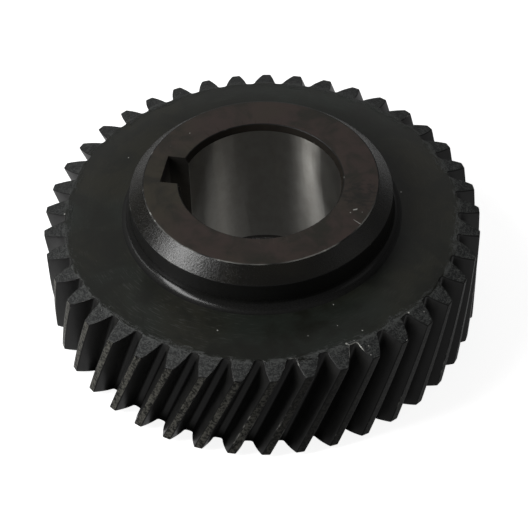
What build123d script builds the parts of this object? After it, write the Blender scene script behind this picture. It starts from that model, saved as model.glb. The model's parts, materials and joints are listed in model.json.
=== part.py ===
"""Right-hand helical gear with a one-sided hub, turned, bored, keyed and hobbed from one steel blank.

Millimetres and degrees. The origin is on the bore axis at the plain end, +Z runs up through the
hub, and the keyway is cut towards -X.
"""

import os
from math import acos, atan, cos, degrees, hypot, pi, radians, sqrt, tan

from build123d import *

# Teeth, as the hob makes them: sizes in the plane square to a tooth
tooth_count = 41
normal_module = 3.0
helix_angle = 21.0
pressure_angle = 20.0
tip_height = 1.0 * normal_module
root_depth = 1.25 * normal_module
root_fillet = 0.3 * normal_module

# Rim: flat faces inside the root circle, tooth ends bevelled back from there to the tips
face_width = 38.0
tooth_end_bevel = 15.0

# Hub
hub_diameter = 82.5
hub_height = 14.0
hub_chamfer = 4.6
hub_fillet = 3.0

# Bore, with the same steep lead-in at both ends
bore_diameter = 50.0
lead_in_step = 0.8
lead_in_depth = 2.3

# Keyway: its width, its floor from the bore axis, and how far a tooth's centre line stands
# short of the keyway's centre line, in the flat face on the hub side
keyway_width = 11.8
keyway_floor = 30.7
keyway_lead = 1.3

overrun = 1.0  # how far each cutter runs past what it cuts


def involute(angle):
    """The involute function of an angle in radians."""
    return tan(angle) - angle


pitch_radius = tooth_count * normal_module / cos(radians(helix_angle)) / 2
tip_radius = pitch_radius + tip_height
root_radius = pitch_radius - root_depth
transverse_pressure = atan(tan(radians(pressure_angle)) / cos(radians(helix_angle)))
base_radius = pitch_radius * cos(transverse_pressure)
lead = 2 * pi * pitch_radius / tan(radians(helix_angle))

bore_radius = bore_diameter / 2
hub_radius = hub_diameter / 2
overall_length = face_width + hub_height
bevel_drop = (tip_radius - root_radius) * tan(radians(tooth_end_bevel))


def half_gap(radius):
    """Half the angle that a tooth gap spans at a radius, in radians."""
    half_gap_at_pitch = pi / (2 * tooth_count)
    return half_gap_at_pitch - involute(transverse_pressure) + involute(acos(base_radius / radius))


def flank_point(radius):
    """The point of a gap's flank at a radius, for a gap centred on +X."""
    return Vector(radius, 0).rotate(Axis.Z, degrees(half_gap(radius)))


# A circle as large as the root fillet touches the root circle and the flank. The line from its
# centre to the flank is tangent to the base circle, as every normal of an involute is.
fillet_centre_radius = root_radius + root_fillet
fillet_centre_reach = sqrt(fillet_centre_radius**2 - base_radius**2)
fillet_centre_angle = half_gap(fillet_centre_radius) - root_fillet / base_radius
fillet_centre = Vector(fillet_centre_radius, 0).rotate(Axis.Z, degrees(fillet_centre_angle))
flank_start = hypot(base_radius, fillet_centre_reach - root_fillet)
flank_end = tip_radius + overrun
floor_end = Vector(root_radius, 0).rotate(Axis.Z, degrees(fillet_centre_angle))
fillet_turn = (floor_end - fillet_centre).get_signed_angle(flank_point(flank_start) - fillet_centre)

# Every curve across the gap is drawn as a few chords, each within 0.06 mm of it, so that a part
# with so many gaps stays light
fillet_chords = 2
flank_chords = 3
fillet_points = [
    fillet_centre + (floor_end - fillet_centre).rotate(Axis.Z, fillet_turn * chord / fillet_chords)
    for chord in range(fillet_chords)
]
flank_points = [
    flank_point(flank_start + (flank_end - flank_start) * chord / flank_chords)
    for chord in range(flank_chords + 1)
]

with BuildPart() as tooth_gap:
    with BuildSketch(Plane.XY.offset(-overrun)):
        with BuildLine():
            Polyline((root_radius, 0), *fillet_points, *flank_points)
            mirror(about=Plane.XZ)
            mouth = flank_points[-1]
            Line(mouth, (mouth.X, -mouth.Y))
        make_face()
    with BuildLine() as hob_path:
        Line((0, 0, -overrun), (0, 0, face_width + overrun))
    with BuildLine() as hob_lead:
        Helix(pitch=lead, height=face_width + 2 * overrun, radius=pitch_radius, center=(0, 0, -overrun))
    sweep(path=hob_path.line, binormal=hob_lead.edge())

# The first gap stands half a pitch past the tooth beside the keyway, and the helix turns it back
# from there down to where the cutter starts
tooth_pitch = 360 / tooth_count
first_gap = 180 - keyway_lead + tooth_pitch / 2 - 360 * (face_width + overrun) / lead

with BuildPart() as helical_gear:
    # Turned blank
    with BuildSketch(Plane.XZ):
        with BuildLine():
            Polyline(
                (0, 0),
                (root_radius, 0),
                (tip_radius, bevel_drop),
                (tip_radius, face_width - bevel_drop),
                (root_radius, face_width),
                (hub_radius, face_width),
                (hub_radius, overall_length),
                (0, overall_length),
                close=True,
            )
        make_face()
    revolve(axis=Axis.Z)
    rims = helical_gear.edges().filter_by(GeomType.CIRCLE)
    hub_root = rims.filter_by_position(Axis.Z, face_width, face_width).sort_by(SortBy.RADIUS)[0]
    fillet(hub_root, radius=hub_fillet)
    hub_top = helical_gear.edges().filter_by(GeomType.CIRCLE).sort_by(Axis.Z)[-1]
    chamfer(hub_top, length=hub_chamfer)

    # Bore, with its lead-ins
    with BuildSketch(Plane.XZ):
        with BuildLine():
            Polyline(
                (0, -overrun),
                (bore_radius + lead_in_step, -overrun),
                (bore_radius + lead_in_step, 0),
                (bore_radius, lead_in_depth),
                (bore_radius, overall_length - lead_in_depth),
                (bore_radius + lead_in_step, overall_length),
                (bore_radius + lead_in_step, overall_length + overrun),
                (0, overall_length + overrun),
                close=True,
            )
        make_face()
    revolve(axis=Axis.Z, mode=Mode.SUBTRACT)

    # Keyway, broached right through
    with BuildSketch():
        with Locations((-keyway_floor, 0)):
            Rectangle(keyway_floor, keyway_width, align=(Align.MIN, Align.CENTER))
    extrude(amount=overall_length, mode=Mode.SUBTRACT)

    # Hobbed teeth
    with PolarLocations(0, tooth_count, start_angle=first_gap):
        add(tooth_gap.part, mode=Mode.SUBTRACT)

helical_gear.part.label = "helical_gear"
os.makedirs("parts", exist_ok=True)
export_step(helical_gear.part, "parts/helical_gear.step")
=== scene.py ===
"""A helical gear in black-oxided steel, standing on its plain end on a pale studio floor."""

import json
from math import acos, atan, atan2, cos, hypot, pi, radians, sin, sqrt, tan

import bpy
from mathutils import Matrix, Vector


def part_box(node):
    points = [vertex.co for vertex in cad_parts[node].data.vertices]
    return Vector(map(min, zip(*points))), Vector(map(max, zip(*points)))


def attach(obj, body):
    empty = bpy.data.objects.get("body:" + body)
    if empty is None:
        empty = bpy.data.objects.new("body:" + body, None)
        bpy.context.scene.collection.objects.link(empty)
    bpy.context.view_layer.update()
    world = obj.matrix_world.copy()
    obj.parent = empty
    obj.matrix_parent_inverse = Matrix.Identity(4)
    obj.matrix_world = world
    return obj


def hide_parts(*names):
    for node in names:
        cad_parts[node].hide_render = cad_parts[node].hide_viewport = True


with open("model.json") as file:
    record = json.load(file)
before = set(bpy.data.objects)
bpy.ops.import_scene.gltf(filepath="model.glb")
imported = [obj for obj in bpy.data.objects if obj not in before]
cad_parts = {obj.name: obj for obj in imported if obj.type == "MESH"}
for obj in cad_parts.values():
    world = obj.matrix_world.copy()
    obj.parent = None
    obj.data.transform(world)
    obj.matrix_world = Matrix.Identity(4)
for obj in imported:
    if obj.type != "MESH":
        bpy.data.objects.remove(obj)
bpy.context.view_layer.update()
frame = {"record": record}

# ------------------------------------------------------------------------------------------------
# Gear: a forged steel blank with a hub on one side, turned all over, bored to size, hobbed with
# helical teeth and broached with one keyway, then finished in hot black oxide. The hub carries a
# wide chamfer and runs into the web through a fillet.
# ------------------------------------------------------------------------------------------------

MM = 0.001
mounts = {mount["name"]: mount for mount in frame["record"]["mounts"]}

tooth_count = 41
normal_module = 3 * MM
helix_angle = radians(21)
pressure_angle = radians(20)
root_depth = 1.25 * normal_module
root_fillet = 0.3 * normal_module
pitch_radius = tooth_count * normal_module / cos(helix_angle) / 2
tip_radius = pitch_radius + normal_module
root_radius = pitch_radius - root_depth
pitch = 2 * pi / tooth_count
twist = tan(helix_angle) / pitch_radius  # radians for each metre along the axis

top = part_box("helical_gear")[1][2]
hub_height = 14 * MM
web_height = top - hub_height
tooth_end_slope = tan(radians(15))

bore_radius = mounts["bore"]["dims"]["r_mm"] * MM
lead_in_step = 0.8 * MM
lead_in_depth = 2.3 * MM
hub_radius = 41.25 * MM
hub_chamfer = 4.6 * MM
hub_fillet = 3 * MM
bend_ring = 0.6 * MM  # rings this close to a soft bend keep its shading tight


def arc(centre, radius, start, end, steps):
    """Points on an arc in a half section, as pairs of distance from the axis and height."""
    angles = [radians(start + (end - start) * step / steps) for step in range(steps + 1)]
    return [(centre[0] + radius * cos(a), centre[1] + radius * sin(a)) for a in angles]


def even(start, end, steps):
    """Points along a straight line in a half section."""
    return [
        tuple(a + (b - a) * step / steps for a, b in zip(start, end)) for step in range(steps + 1)
    ]


# Corners of the half section, from the rim of the web inwards, down the bore and out below
web_rim = (root_radius, web_height)
fillet_foot = (hub_radius + hub_fillet, web_height)
chamfer_foot = (hub_radius, top - hub_chamfer)
chamfer_crest = (hub_radius - hub_chamfer, top)
mouth = (bore_radius + lead_in_step, top)
bore_top = (bore_radius, top - lead_in_depth)
bore_bottom = (bore_radius, lead_in_depth)
lower_mouth = (bore_radius + lead_in_step, 0)
plain_rim = (root_radius, 0)

web_section = [web_rim] + even((root_radius - bend_ring, web_height), fillet_foot, steps=4)
fillet_centre = (hub_radius + hub_fillet, web_height + hub_fillet)
hub_section = arc(fillet_centre, hub_fillet, start=270, end=180, steps=8) + [chamfer_foot]
chamfer_section = even(chamfer_foot, chamfer_crest, steps=2)
hub_top_section = even(chamfer_crest, mouth, steps=3)
lead_in_section = even(mouth, bore_top, steps=4)
bore_span = (bore_radius, bore_top[1] - bend_ring), (bore_radius, bore_bottom[1] + bend_ring)
bore_section = [bore_top] + even(*bore_span, steps=6) + [bore_bottom]
lower_lead_in_section = even(bore_bottom, lower_mouth, steps=4)
plain_section = even(lower_mouth, plain_rim, steps=8)


# Tooth form, half a pitch of it from the middle of a tooth to the middle of the gap beside it, as
# pairs of angle from the tooth's middle and distance from the axis
def involute(angle):
    """The involute function of a pressure angle."""
    return tan(angle) - angle


def polar_point(radius, angle):
    """A point in a plane across the axis, by its distance from the axis and its angle."""
    return Vector((radius * cos(angle), radius * sin(angle)))


transverse_pressure = atan(tan(pressure_angle) / cos(helix_angle))
base_radius = pitch_radius * cos(transverse_pressure)


def half_tooth(radius):
    """Half the angle that a tooth spans at a radius."""
    return pitch / 4 + involute(transverse_pressure) - involute(acos(base_radius / radius))


# The root fillet: where its circle stands, touches the flank and touches the root circle
root_turn_radius = root_radius + root_fillet
root_turn_angle = half_tooth(root_turn_radius) + root_fillet / base_radius
root_turn_middle = polar_point(root_turn_radius, root_turn_angle)
flank_start = hypot(base_radius, sqrt(root_turn_radius**2 - base_radius**2) - root_fillet)
flank_foot = polar_point(flank_start, half_tooth(flank_start))
gap_foot = polar_point(root_radius, root_turn_angle)
fillet_start = atan2(*reversed(flank_foot - root_turn_middle))
fillet_end = atan2(*reversed(gap_foot - root_turn_middle))
fillet_turn = (fillet_end - fillet_start + pi) % (2 * pi) - pi

LAND_STEPS = 2
FLANK_STEPS = 8
FILLET_STEPS = 4
ROOT_STEPS = 2

tooth_form = []
for step in range(LAND_STEPS):
    tooth_form.append((half_tooth(tip_radius) * step / LAND_STEPS, tip_radius))
for step in range(FLANK_STEPS):
    radius = tip_radius + (flank_start - tip_radius) * step / FLANK_STEPS
    tooth_form.append((half_tooth(radius), radius))
for step in range(FILLET_STEPS):
    turn = fillet_start + fillet_turn * step / FILLET_STEPS
    point = root_turn_middle + root_fillet * polar_point(1, turn)
    tooth_form.append((atan2(point.y, point.x), point.length))
for step in range(ROOT_STEPS + 1):
    angle = root_turn_angle + (pitch / 2 - root_turn_angle) * step / ROOT_STEPS
    tooth_form.append((angle, root_radius))


def end_height(radius, upper):
    """The height of the toothed rim's end at a radius: flat to the root circle, then bevelled."""
    drop = max(radius - root_radius, 0) * tooth_end_slope
    return web_height - drop if upper else drop


keyway_angle = pi
keyway_lead = radians(1.3)  # from the first tooth's middle, in the web's plane, to the keyway


def on_gear(angle, radius, height):
    """A point fixed to the teeth, at an angle from the first tooth's middle in the web's plane."""
    turned = keyway_angle - keyway_lead + angle + twist * (height - web_height)
    return Vector((radius * cos(turned), radius * sin(turned), height))


# What the gear's finishes are wired with. Each finish is one short function further down, and goes
# on the sheets that it covers.
class Shade:
    """One output of a node. Arithmetic on it adds the nodes that work it out."""

    def __init__(self, wiring, socket):
        self.wiring = wiring
        self.socket = socket

    def math(self, operation, *others):
        return self.wiring.node("ShaderNodeMath", {"operation": operation}, (self, *others))

    def __add__(self, other):
        return self.math("ADD", other)

    def __sub__(self, other):
        return self.math("SUBTRACT", other)

    def __rsub__(self, other):
        return self.wiring.node("ShaderNodeMath", {"operation": "SUBTRACT"}, (other, self))

    def __mul__(self, other):
        return self.math("MULTIPLY", other)

    __radd__ = __add__
    __rmul__ = __mul__

    def rise(self, start, end):
        """0 below start, 1 above end, smooth between them. It falls where end is below start."""
        settings = {"interpolation_type": "SMOOTHSTEP"}
        return self.wiring.node("ShaderNodeMapRange", settings, (self, start, end, 0.0, 1.0))


class Wiring:
    """A tree of nodes, and the one way in which a node is added to it."""

    def __init__(self, tree):
        self.tree = tree

    def node(self, kind, settings, values, output=0):
        """An output of a new node with these settings, its sockets given these values or links."""
        made = self.tree.nodes.new(kind)
        for name, setting in settings.items():
            setattr(made, name, setting)
        for name, value in values.items() if isinstance(values, dict) else enumerate(values):
            if isinstance(value, Shade):
                self.tree.links.new(value.socket, made.inputs[name])
            else:
                made.inputs[name].default_value = value
        return Shade(self, made.outputs[output])


class Finish(Wiring):
    """A material's nodes round its Principled shader, with patterns that follow the gear's axis."""

    def __init__(self, name, **constants):
        self.material = bpy.data.materials.new(name)
        self.material.use_nodes = True
        super().__init__(self.material.node_tree)
        self.shader = self.tree.nodes["Principled BSDF"]
        for socket, value in constants.items():
            self.shader.inputs[socket.replace("_", " ")].default_value = value
        self.place = self.node("ShaderNodeTexCoord", {}, (), "Object")
        self.x, self.y, self.z = (
            self.node("ShaderNodeSeparateXYZ", {}, (self.place,), axis) for axis in "XYZ"
        )
        self.radius = (self.x * self.x + self.y * self.y).math("SQRT")
        self.angle = self.y.math("ARCTAN2", self.x)

    def stretched(self, x, y, z):
        """The place on the gear, scaled by this much along each axis."""
        return self.node("ShaderNodeVectorMath", {"operation": "MULTIPLY"}, (self.place, (x, y, z)))

    def polar(self, around, outward, up):
        """A place on the gear by its angle, distance from the axis and height, each scaled."""
        parts = (self.angle * around, self.radius * outward, self.z * up)
        return self.node("ShaderNodeCombineXYZ", {}, parts)

    def noise(self, where, scale, detail=3.0, roughness=0.55, distortion=0.0):
        """Cloudy noise, from 0 to 1. Its scale is the number of its clouds to the metre."""
        values = {"Vector": where, "Scale": scale, "Detail": detail}
        values |= {"Roughness": roughness, "Distortion": distortion}
        return self.node("ShaderNodeTexNoise", {}, values)

    def specks(self, where, scale, size, share):
        """1 on small round specks, in this share of cells of a grid of this scale."""
        cells = {"Vector": where, "Scale": scale}
        reach = self.node("ShaderNodeTexVoronoi", {}, cells, "Distance")
        colour = self.node("ShaderNodeTexVoronoi", {}, cells, "Color")
        chance = self.node("ShaderNodeSeparateColor", {}, (colour,))
        return reach.rise(size, size * 0.6) * chance.rise(1 - share, 1 - share + 0.01)

    def near(self, spot, start, end):
        """1 closer than end to a spot given in mm, 0 beyond start."""
        settings = {"operation": "DISTANCE"}
        away = self.node("ShaderNodeVectorMath", settings, (self.place, Vector(spot) * MM), "Value")
        return away.rise(start * MM, end * MM)

    def nicks(self, *spots):
        """1 on ragged nicks, each given by its place and size in mm."""
        ragged = 0.2 + 1.6 * self.noise(self.place, 2500, 2.0)
        nicked = 0.0
        for *spot, size in spots:
            nicked = ragged * self.near(spot, size, 0.0) + nicked
        return nicked.rise(0.3, 0.55)

    def scratch(self, start, end, width):
        """1 along a straight, broken scratch between two spots, all in mm."""
        start, end = Vector(start) * MM, Vector(end) * MM
        along = (end - start).normalized()
        aside = along.cross((0, 0, 1)).normalized()
        dot = {"operation": "DOT_PRODUCT"}
        forward = self.node("ShaderNodeVectorMath", dot, (self.place, along), "Value")
        sideways = self.node("ShaderNodeVectorMath", dot, (self.place, aside), "Value")
        middle, half_length = along.dot(start + end) / 2, (end - start).length / 2
        ends = (forward - middle).math("ABSOLUTE").rise(half_length, half_length - 0.4 * MM)
        sides = (sideways - aside.dot(start)).math("ABSOLUTE").rise(width * MM, 0.3 * width * MM)
        return ends * sides * self.noise(self.place, 900, 2.0).rise(0.4, 0.5)

    def mix(self, share, first, second):
        """One colour passing into another."""
        sockets = {0: share, 6: first, 7: second}  # a Mix node's factor and its two colours
        return self.node("ShaderNodeMix", {"data_type": "RGBA"}, sockets, 2)

    def bump(self, height, depth, before=None):
        """A normal that follows a height, in metres when depth is 1."""
        values = {"Height": height, "Distance": depth}
        if before:
            values["Normal"] = before
        return self.node("ShaderNodeBump", {}, values)

    def wear(self, colour=None, roughness=None, normal=None, metal=None, glow=None):
        """Feeds what varies over the surface to the shader, and gives the finished material."""
        fed = {
            "Base Color": colour,
            "Roughness": roughness,
            "Normal": normal,
            "Metallic": metal,
            "Emission Color": glow,
        }
        for name, shade in fed.items():
            if shade:
                self.tree.links.new(shade.socket, self.shader.inputs[name])
        return self.material


def faced_end():
    """Faced web and tooth ends: greenish black turning marks, torn and scuffed out on the teeth."""
    end = Finish("faced_end", IOR=1.62)
    rings = end.noise(end.polar(0.0, 1.0, 0.0), 1500, 3.0)
    marks = end.noise(end.polar(0.005, 1.0, 0.0), 2300, 3.0, 0.6)
    drift = end.noise(end.place, 24, 2.0)
    cloud = end.noise(end.place, 75, 5.0, 0.65, 0.6)
    scuff = end.noise(end.place, 650, 4.0, 0.75)
    drag = end.noise(end.polar(0.02, 1.0, 0.4), 1300, 4.0, 0.7)
    grit = end.noise(end.place, 2000, 3.0, 0.65)

    # The web: its cast drifts, and pale turning marks gather on one side
    olive, green = (0.015, 0.0145, 0.006, 1), (0.010, 0.0145, 0.0095, 1)
    cast = end.mix(drift.rise(0.4, 0.6), olive, green)
    smooth = end.mix(cloud.rise(0.35, 0.65), (0.003, 0.004, 0.0005, 1), cast)
    gathered = 0.3 + 0.7 * end.near((-28, -46, 38), 42, 16)
    scored = marks.rise(0.55, 0.66) * cloud.rise(0.42, 0.56) * gathered
    smooth = end.mix(scored * 0.65, smooth, (0.06, 0.062, 0.056, 1))

    # The tooth ends: coarse and speckled, with a burr along the root circle
    burr = end.radius.rise(root_radius - 1.6 * MM, root_radius)
    burr = burr * end.radius.rise(root_radius + 1.6 * MM, root_radius)
    # Painted shade: the pale speckle on the tooth ends is painted weaker toward the far left side.
    painted_far_shade = 0.7 + 0.3 * (end.y - 0.6 * end.x).rise(40 * MM, -20 * MM)
    pale = (0.2 * scuff + 0.3 * drag + 0.5 * grit + 0.05 * burr).rise(0.46, 0.57) * painted_far_shade
    coarse = end.mix(pale, (0.003, 0.004, 0.004, 1), (0.07, 0.074, 0.07, 1))
    ragged_radius = end.radius + (drag - 0.5) * (9 * MM) + (cloud - 0.5) * (8 * MM)
    torn = ragged_radius.rise(root_radius - 1.4 * MM, root_radius + 0.6 * MM)

    # Bright nicks, on the web at a height of 38 mm and on the teeth a little lower
    struck = end.scratch((34.6, -50.6, 38), (39.4, -52.3, 35), 0.2) + end.nicks(
        (-3.9, -51.6, 38, 0.4), (28.5, -35.8, 38, 0.35), (30.9, -44, 38, 0.25),
        (38.5, -44.7, 38, 0.4), (51.1, -35.4, 38, 0.55), (52, -44.9, 36.2, 0.6),
        (-47.5, 17.8, 38, 0.35), (34.6, -50.6, 38, 0.6),
    )
    web_specks = end.specks(end.place, 260, 0.09, 0.03)
    tooth_specks = end.specks(end.place, 900, 0.2, 0.03)
    nicks = (web_specks + torn * tooth_specks + struck).math("MINIMUM", 1.0)
    colour = end.mix(nicks, end.mix(torn, smooth, coarse), (0.5, 0.5, 0.47, 1))

    inner = end.radius.rise(61 * MM, 47 * MM)
    rough = 0.24 + 0.08 * rings + 0.08 * cloud + 0.32 * torn + 0.16 * inner
    bump = end.bump(torn * (scuff + drag), 0.06 * MM, end.bump(rings + 0.6 * marks, 0.012 * MM))
    return end.wear(colour, rough, bump)


def hub_face():
    """Faced hub end: the oxide is brown in patches, and one side is smudged and scratched."""
    face = Finish("hub_face", IOR=1.6)
    rings = face.noise(face.polar(0.0, 1.0, 0.0), 1800, 3.0)
    drift = face.noise(face.place, 28, 2.0)
    patches = face.noise(face.place, 110, 4.0, 0.6, 0.6)
    smudge = face.noise(face.stretched(1, 2.2, 1), 330, 4.0, 0.7) * face.near((32, -2, 52), 16, 4)
    long_scratch = face.scratch((30.7, -12.8, 52), (34, -15, 52), 0.16)
    short_scratch = face.scratch((30.1, -9, 52), (31.7, -8.2, 52), 0.35)
    struck = face.nicks((29.6, -10.1, 52, 0.35), (33.1, -9.4, 52, 0.25))
    nicks = face.specks(face.place, 420, 0.10, 0.03) + struck
    bright = (nicks + (long_scratch + short_scratch)).math("MINIMUM", 1.0)
    brown, olive = (0.044, 0.027, 0.022, 1), (0.038, 0.031, 0.018, 1)
    cast = face.mix(drift.rise(0.4, 0.6), brown, olive)
    colour = face.mix(patches.rise(0.34, 0.6), (0.015, 0.013, 0.007, 1), cast)
    colour = face.mix(smudge.rise(0.42, 0.6) * 0.8, colour, (0.004, 0.003, 0.002, 1))
    colour = face.mix(bright, colour, (0.45, 0.45, 0.42, 1))
    return face.wear(colour, 0.38 + 0.1 * rings + 0.08 * patches, face.bump(rings, 0.01 * MM))


def turned_chamfer():
    """Turned chamfer: satin, with a fine grain that sparkles."""
    cone = Finish("turned_chamfer", IOR=1.62, Anisotropic=0.5, Anisotropic_Rotation=0.25)
    grain = cone.noise(cone.place, 1700, 3.0, 0.8)
    rings = cone.noise(cone.polar(0.02, 1.0, 0.0), 1600, 3.0)
    cloud = cone.noise(cone.place, 150, 3.0)
    colour = cone.mix(cloud.rise(0.35, 0.65), (0.005, 0.0045, 0.003, 1), (0.009, 0.008, 0.005, 1))
    rough = 0.12 + 0.16 * grain + 0.05 * cloud + 0.06 * rings
    return cone.wear(colour, rough, cone.bump(grain + 0.3 * rings, 0.08 * MM))


def hub_wall():
    """Hub wall and its fillet: finely turned, and smoothest halfway down the fillet."""
    wall = Finish("hub_wall", IOR=1.43)
    grain = wall.noise(wall.place, 1800, 3.0, 0.7)
    colour = wall.mix(grain.rise(0.35, 0.65), (0.009, 0.009, 0.0085, 1), (0.014, 0.014, 0.013, 1))
    foot = wall.z.rise(web_height + 0.18 * hub_fillet, web_height)
    upper = wall.z.rise(web_height + 0.5 * hub_fillet, web_height + 2 * hub_fillet)
    rough = 0.16 + 0.08 * grain + 0.24 * foot + 0.2 * upper
    return wall.wear(colour, rough, wall.bump(grain, 0.006 * MM))


def dull_lead_in():
    """Lead-ins, where the oxide lies thick and dull as nothing has rubbed it."""
    dull = Finish("dull_lead_in", IOR=1.35)
    cloud = dull.noise(dull.place, 400, 4.0, 0.6)
    colour = dull.mix(cloud.rise(0.3, 0.7), (0.01, 0.0075, 0.005, 1), (0.016, 0.012, 0.008, 1))
    return dull.wear(colour, 0.55 + 0.2 * cloud, dull.bump(cloud, 0.02 * MM))


def broached_keyway():
    """Keyway: dull like the lead-ins, painted darker near the top and paler further down, as
    painted light.
    """
    wall = Finish("broached_keyway", IOR=1.3)
    cloud = wall.noise(wall.place, 400, 4.0, 0.6)
    # Painted light and shade: darker at the top where the lamp lights the keyway, paler deep down
    # in its shade.
    painted_light_further_down = wall.z.rise(top - 2 * MM, top - 14 * MM)
    colour = wall.mix(painted_light_further_down, (0.02, 0.0185, 0.016, 1), (0.13, 0.12, 0.105, 1))
    return wall.wear(colour, 0.6 + 0.2 * cloud, wall.bump(cloud, 0.02 * MM))


def ground_bore():
    """Ground bore: smooth round the shaft, so that light draws out into stripes along it."""
    wall = Finish("ground_bore", Metallic=1.0, Anisotropic=1.0, Anisotropic_Rotation=0.25)
    rub = wall.noise(wall.stretched(1, 1, 0.7), 240, 4.0, 0.65)
    colour = wall.mix(rub.rise(0.3, 0.7), (0.29, 0.28, 0.258, 1), (0.335, 0.327, 0.305, 1))
    return wall.wear(colour, 0.31 + 0.06 * rub, wall.bump(rub, 0.003 * MM))


def tip_land():
    """Tip lands: the turned outside of the blank, scuffed by handling, the pale scuffs painted
    strongest on one side as painted light.
    """
    land = Finish("tip_land", IOR=1.35)
    scuff = land.noise(land.place, 1100, 4.0, 0.7)
    nicks = land.specks(land.place, 800, 0.16, 0.12)
    # Painted light: the pale scuffs and nicks are painted strongest on the left, where the key
    # light falls.
    painted_light_side = 0.15 + 0.85 * land.x.rise(34 * MM, -12 * MM)
    oxide, pale = (0.01, 0.01, 0.009, 1), (0.185, 0.18, 0.155, 1)
    colour = land.mix(scuff.rise(0.4, 0.6) * painted_light_side, oxide, pale)
    colour = land.mix(nicks * painted_light_side, colour, (0.25, 0.25, 0.23, 1))
    return land.wear(colour, 0.5 - 0.15 * scuff, land.bump(scuff, 0.06 * MM))


def hobbed_flank():
    """Hobbed flanks and roots: smooth, with faint streaks along the teeth. The roots are painted
    paler, as painted light in the gaps.
    """
    flank = Finish("hobbed_flank", IOR=1.9)
    streaks = flank.noise(flank.polar(0.065, 1.0, 0.08), 900, 3.0)
    cloud = flank.noise(flank.place, 160, 3.0)
    colour = flank.mix(cloud.rise(0.3, 0.7), (0.009, 0.009, 0.0085, 1), (0.017, 0.017, 0.016, 1))
    # Painted light: the gap floors are painted paler to brighten the shaded gaps.
    painted_light_gap_floor = flank.radius.rise(root_radius + 0.9 * MM, root_radius + 0.2 * MM)
    colour = flank.mix(painted_light_gap_floor, colour, (0.029, 0.029, 0.027, 1))
    return flank.wear(colour, 0.3 + 0.12 * streaks, flank.bump(streaks, 0.01 * MM))


def worn_edge():
    """Edge breaks, where handling has rubbed the oxide through to bright steel here and there, with
    a painted highlight along the hub end's near rim.
    """
    edge = Finish("worn_edge", IOR=1.45)
    rub = edge.noise(edge.place, 420, 4.0, 0.7)
    spell = edge.noise(edge.place, 45, 2.0)
    wear_and_painted_highlight = 0.6 * (0.45 * rub + 0.55 * spell).rise(0.57, 0.64)

    # The rim of the hub end, painted bright on its near side: a painted highlight, broken up by the
    # rub pattern
    painted_rim_highlight = edge.near((6, -36, 52), 48, 32) * edge.z.rise(top - 0.5 * MM, top - 0.2 * MM)
    painted_rim_highlight = painted_rim_highlight * edge.radius.rise(32 * MM, 34 * MM) * spell.rise(0.38, 0.5)
    wear_and_painted_highlight = wear_and_painted_highlight + painted_rim_highlight * (0.25 + 0.6 * rub)

    # Nicks on the hub's rim and on the teeth, and one tooth scraped along its end
    wear_and_painted_highlight = wear_and_painted_highlight + edge.nicks(
        (-25.5, -27.3, 51.5, 1), (-30.5, -20.2, 52, 1), (-28.5, -23, 51.9, 0.7),
        (-6.1, -36.4, 51.8, 0.7), (13.8, -34.9, 51.5, 0.6), (-18.1, -65.8, 32.5, 1),
        (20.4, -65.8, 22, 0.8), (18.9, -66.2, 17.6, 0.7),
    )
    wear_and_painted_highlight = wear_and_painted_highlight + edge.near((36.8, -51.6, 36.8), 3.6, 2.6) * rub.rise(0.3, 0.45)
    wear_and_painted_highlight = wear_and_painted_highlight.math("MINIMUM", 1.0)
    colour = edge.mix(wear_and_painted_highlight, (0.009, 0.009, 0.0085, 1), (0.4, 0.4, 0.37, 1))
    return edge.wear(colour, 0.5 - 0.1 * rub, edge.bump(rub, 0.03 * MM), wear_and_painted_highlight * 0.3)


def plain_face():
    """Faced plain end, like the web but cleaner, as it is seldom handled."""
    face = Finish("plain_face", IOR=1.6, Anisotropic=0.4, Anisotropic_Rotation=0.25)
    rings = face.noise(face.polar(0.0, 1.0, 0.0), 1500, 3.0)
    cloud = face.noise(face.place, 60, 4.0)
    colour = face.mix(cloud.rise(0.3, 0.7), (0.005, 0.0055, 0.003, 1), (0.009, 0.009, 0.0065, 1))
    return face.wear(colour, 0.38 + 0.1 * rings, face.bump(rings, 0.01 * MM))


def wrap(name, columns, rows, place, finish):
    """A grid sheet in one finish, with each of its points moved to place(column, row)."""
    bpy.ops.mesh.primitive_grid_add(x_subdivisions=columns, y_subdivisions=rows, size=1)
    sheet = bpy.context.object
    sheet.name = name
    for point in sheet.data.vertices:
        point.co = place(round((point.co.x + 0.5) * columns), round((point.co.y + 0.5) * rows))
    sheet.data.materials.append(finish)
    return sheet


bpy.ops.object.select_all(action="DESELECT")
sheets = []

# Flanks, tip land and root of one tooth
FACE_STEPS = 16
middle_column = len(tooth_form) - 1


def on_flank(column, row):
    angle, radius = tooth_form[abs(column - middle_column)]
    low, high = end_height(radius, upper=False), end_height(radius, upper=True)
    side = -1 if column < middle_column else 1
    return on_gear(side * angle, radius, low + (high - low) * row / FACE_STEPS)


tooth = wrap("tooth", 2 * middle_column, FACE_STEPS, on_flank, hobbed_flank())
tooth.data.materials.append(tip_land())
for face in tooth.data.polygons:
    reach = min(hypot(*tooth.data.vertices[corner].co.xy) for corner in face.vertices)
    if reach > tip_radius - 0.01 * MM:
        face.material_index = 1
sheets.append(tooth)

# Bevelled ends of one tooth: rungs from flank to flank
end_finish = faced_end()
tooth_sides = tooth_form[LAND_STEPS:LAND_STEPS + FLANK_STEPS + FILLET_STEPS + 1]
for upper in (True, False):
    def on_end(column, row):
        angle, radius = tooth_sides[row]
        return on_gear(angle * (column / LAND_STEPS - 1), radius, end_height(radius, upper))

    sheets.append(wrap("tooth_end", 2 * LAND_STEPS, len(tooth_sides) - 1, on_end, end_finish))

# The rest of the same pitch, swept round the axis: columns stand where the teeth's root points do
root_angles = [tooth_form[-1 - step][0] for step in range(ROOT_STEPS + 1)]
root_angles += [root_angles[-1] * (1 - step / LAND_STEPS) for step in range(1, LAND_STEPS + 1)]
pitch_angles = [-angle for angle in root_angles] + root_angles[-2::-1]


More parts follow.
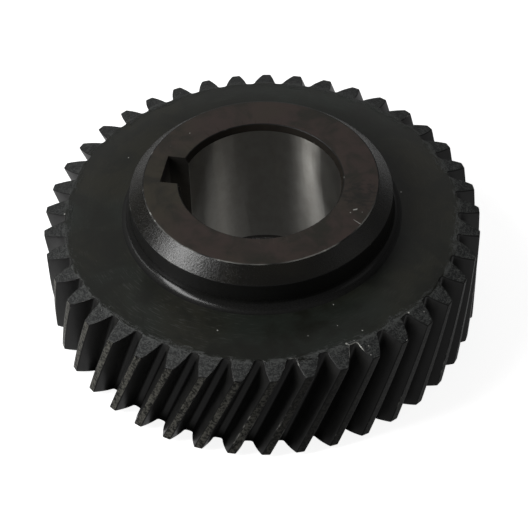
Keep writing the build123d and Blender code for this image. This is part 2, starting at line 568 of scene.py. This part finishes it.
def swept(name, section, finish):
    """One pitch of the surface that a half section sweeps. Below the web it turns as teeth do."""
    def on_section(column, row):
        radius, height = section[row]
        foot = on_gear(pitch_angles[column], radius, min(height, web_height))
        return Vector((foot.x, foot.y, height))

    return wrap(name, len(pitch_angles) - 1, len(section) - 1, on_section, finish)


dull_finish = dull_lead_in()
for name, section, finish in (
    ("web", web_section, end_finish),
    ("hub", hub_section, hub_wall()),
    ("chamfer", chamfer_section, turned_chamfer()),
    ("hub_top", hub_top_section, hub_face()),
    ("lead_in", lead_in_section, dull_finish),
    ("bore", bore_section, ground_bore()),
    ("lower_lead_in", lower_lead_in_section, dull_finish),
    ("plain_end", plain_section, plain_face()),
):
    sheets.append(swept(name, section, finish))

# The pitch is closed up and copied round
for sheet in sheets:
    sheet.select_set(True)
bpy.context.view_layer.objects.active = tooth
bpy.ops.object.join()
gear = bpy.context.object
gear.name = "gear"
gear.data.name = "gear"
bpy.ops.object.mode_set(mode="EDIT")
bpy.ops.mesh.select_all(action="SELECT")
bpy.ops.mesh.spin(
    steps=tooth_count - 1, dupli=True, angle=2 * pi - pitch, center=(0, 0, 0), axis=(0, 0, 1)
)
bpy.ops.mesh.select_all(action="SELECT")
bpy.ops.mesh.remove_doubles(threshold=0.002 * MM)
bpy.ops.mesh.normals_make_consistent(inside=False)
bpy.ops.object.mode_set(mode="OBJECT")


def break_edges(name, width, sharper_than, **settings):
    """Takes off the gear's edges that turn by more than this many degrees."""
    edge_break = gear.modifiers.new(name, "BEVEL")
    edge_break.width = width
    edge_break.segments = 2
    edge_break.limit_method = "ANGLE"
    edge_break.angle_limit = radians(sharper_than)
    edge_break.use_clamp_overlap = False
    for setting, value in settings.items():
        setattr(edge_break, setting, value)
    bpy.ops.object.modifier_apply(modifier=edge_break.name)


gear.data.materials.append(worn_edge())
worn_slot = len(gear.data.materials) - 1
break_edges("edge_break", width=0.22 * MM, sharper_than=35, loop_slide=False, material=worn_slot)
for point in gear.data.vertices:
    # The break stands a hair proud of the flat faces where they bend along the root circle
    if hub_radius + hub_fillet < hypot(point.co.x, point.co.y) < root_radius:
        point.co.z = min(max(point.co.z, 0), web_height)

# The keyway, broached through the wall of the bore from end to end
keyway_width = 11.8 * MM
keyway_floor = 30.7 * MM
bpy.ops.mesh.primitive_cube_add(size=1)
cutter = bpy.context.object
bpy.ops.object.mode_set(mode="EDIT")
bpy.ops.transform.resize(value=(keyway_floor, keyway_width, 2 * top))
bpy.ops.transform.translate(value=(-keyway_floor / 2, 0, top / 2))
bpy.ops.object.mode_set(mode="OBJECT")
cutter.data.materials.append(broached_keyway())
bpy.ops.object.select_all(action="DESELECT")
gear.select_set(True)
bpy.context.view_layer.objects.active = gear
broach = gear.modifiers.new("broach", "BOOLEAN")
broach.operation = "DIFFERENCE"
broach.solver = "EXACT"
broach.object = cutter
broach.material_mode = "TRANSFER"
bpy.ops.object.modifier_apply(modifier=broach.name)
bpy.data.objects.remove(cutter)
break_edges("key_break", width=0.15 * MM, sharper_than=60)

bpy.ops.object.shade_smooth_by_angle(angle=radians(50))
true_normals = gear.modifiers.new("true_normals", "WEIGHTED_NORMAL")
true_normals.keep_sharp = True
bpy.ops.object.modifier_apply(modifier=true_normals.name)

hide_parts("helical_gear")
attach(gear, "root")


# ------------------------------------------------------------------------------------------------
# Studio: a pale floor under plain soft light. The floor glows of itself, but is painted black under
# the gear as a painted shadow, and neither lights the gear nor stands in its light, so that the
# oxide stays black. Light from below comes from the room and from low panels.
# ------------------------------------------------------------------------------------------------

bpy.ops.mesh.primitive_plane_add(size=6)
floor = bpy.context.object
floor.name = "floor"
ground = Finish("pale_floor", Base_Color=(0.8, 0.8, 0.8, 1), Roughness=0.9, Emission_Strength=0.88)
# Painted shadow: the floor's glow is cut to black under the gear, where the bore shows the floor.
clear_of_painted_shadow = ground.radius.rise(50 * MM, 60 * MM)
glow = ground.mix(clear_of_painted_shadow, (0, 0, 0, 1), (1, 1, 1, 1))
floor.data.materials.append(ground.wear(glow=glow))
floor.visible_glossy = False
floor.visible_diffuse = False
floor.visible_shadow = False

# The gear shuts the light out from under itself: a dark ring below it does that, unseen
ring_radius = 65.4 * MM
ring_drop = 0.2 * MM
bpy.ops.mesh.primitive_circle_add(vertices=64, radius=ring_radius, location=(0, 0, -ring_drop))
ring = bpy.context.object
ring.name = "shade"
bpy.ops.object.mode_set(mode="EDIT")
bpy.ops.mesh.extrude_edges_move()
bpy.ops.transform.resize(value=(0.5, 0.5, 1))
bpy.ops.object.mode_set(mode="OBJECT")
dark = Finish("shade", Base_Color=(0.01, 0.01, 0.01, 1), Roughness=1.0, IOR=1.0)
ring.data.materials.append(dark.material)
ring.visible_camera = False

# The room: dim in front and above, brighter low down on the far side
bright_azimuth = radians(103)
bright_way = (0.82 * cos(bright_azimuth), 0.82 * sin(bright_azimuth), -0.574)
studio = bpy.data.worlds.new("studio")
studio.use_nodes = True
room = Wiring(studio.node_tree)
way = room.node("ShaderNodeTexCoord", {}, (), "Generated")
facing = room.node("ShaderNodeVectorMath", {"operation": "DOT_PRODUCT"}, (way, bright_way), "Value")
strength = room.node(
    "ShaderNodeMapRange",
    {"interpolation_type": "SMOOTHSTEP"},
    {"Value": facing, "From Min": 0.45, "From Max": 1.0, "To Min": 0.1, "To Max": 0.5},
)
background = room.tree.nodes["Background"]
background.inputs["Color"].default_value = (1, 1, 1, 1)
room.tree.links.new(strength.socket, background.inputs["Strength"])
bpy.context.scene.world = studio

# Panels that face the gear: azimuth and elevation in degrees, then distance, width and height in
# metres, and power in watts. The low ones stand for light off a table, the card for light that
# comes up the bore.
for name, azimuth, elevation, distance, width, height, power in (
    ("key", 208, 40, 1.0, 0.3, 0.8, 6),
    ("back", 117, 39.5, 1.2, 1.2, 0.3, 0.58),
    ("strip", 173, 33, 1.2, 0.6, 0.09, 0.65),
    ("table", 350, -40, 0.8, 0.45, 0.5, 0.21),
    ("side", 358, 29, 1.2, 0.6, 0.5, 0.12),
    ("front", 322, -25, 0.8, 0.5, 0.5, 0.12),
    ("card", 178, -39, 0.089, 0.028, 0.05, 0.0065),
):
    panel = bpy.data.lights.new(name, "AREA")
    panel.shape = "RECTANGLE"
    panel.size = width
    panel.size_y = height
    panel.energy = power
    lamp = bpy.data.objects.new(name, panel)
    bpy.context.collection.objects.link(lamp)
    turn, rise = radians(azimuth), radians(elevation)
    out = Vector((cos(rise) * cos(turn), cos(rise) * sin(turn), sin(rise)))
    facing_gear = out.to_track_quat("Z", "Y").to_matrix().to_4x4()
    lamp.matrix_world = Matrix.Translation(distance * out) @ facing_gear

# Camera above the near side, along the line that shows the hub end and the near teeth
aim = (0.0002, 0, 0.01404)
view_turn = 11.6
view_elevation = 46.17
view_roll = -1.75
view_distance = 0.58668
camera = bpy.data.cameras.new("camera")
camera.lens = 122.85
camera.sensor_width = 36
viewpoint = bpy.data.objects.new("camera", camera)
bpy.context.collection.objects.link(viewpoint)
viewpoint.matrix_world = (
    Matrix.Translation(aim)
    @ Matrix.Rotation(radians(view_turn), 4, "Z")
    @ Matrix.Rotation(radians(90 - view_elevation), 4, "X")
    @ Matrix.Rotation(radians(view_roll), 4, "Z")
    @ Matrix.Translation((0, 0, view_distance))
)
bpy.context.scene.camera = viewpoint
bpy.context.scene.view_settings.view_transform = "Standard"
